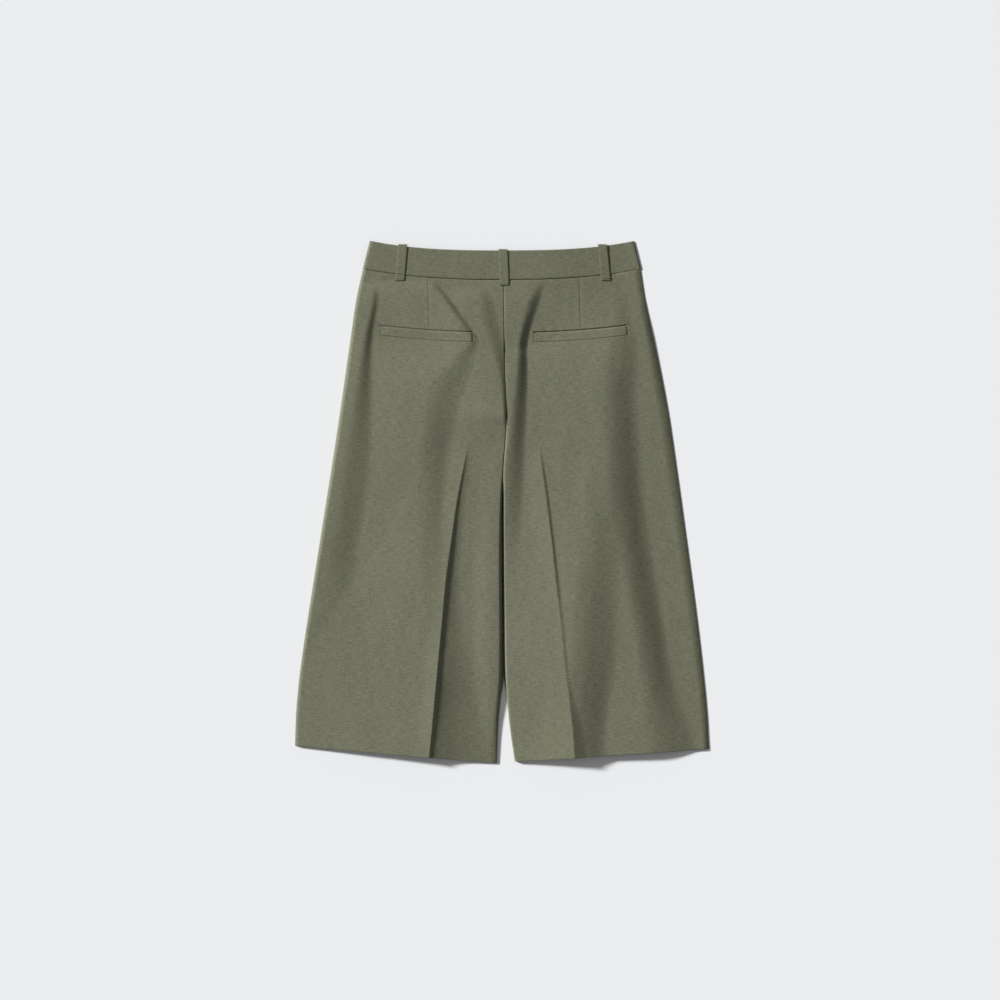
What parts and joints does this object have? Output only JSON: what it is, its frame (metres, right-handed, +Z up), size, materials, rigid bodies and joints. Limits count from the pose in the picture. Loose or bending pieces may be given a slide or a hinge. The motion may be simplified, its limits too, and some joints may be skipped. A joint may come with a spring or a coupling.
{
  "type": "culottes, laid flat on their front",
  "caption": "Olive melange wide-leg culottes laid flat, back up, with a plain waistband, belt loops, back darts, welt pockets and pressed creases.",
  "frame": {"origin": "on the surface the garment lies on, under the middle of its outline", "axes": "+Z up from the surface through the back of the garment, +Y from the hems to the waist, +X to the wearer's right"},
  "size_m": [0.53, 0.668, 0.018],
  "materials": {
    "suiting": "matte"
  },
  "bodies": {
    "root": {"back_panel_left": "suiting", "back_panel_right": "suiting", "front_panel_left": "suiting", "front_panel_right": "suiting", "waistband_back": "suiting", "waistband_front_left": "suiting", "waistband_front_right": "suiting", "belt_loop_back_left": "suiting", "belt_loop_back_center": "suiting", "belt_loop_back_right": "suiting", "belt_loop_front_left": "suiting", "belt_loop_front_right": "suiting", "pocket_welt_left": "suiting", "pocket_welt_right": "suiting"}
  },
  "joints": []
}
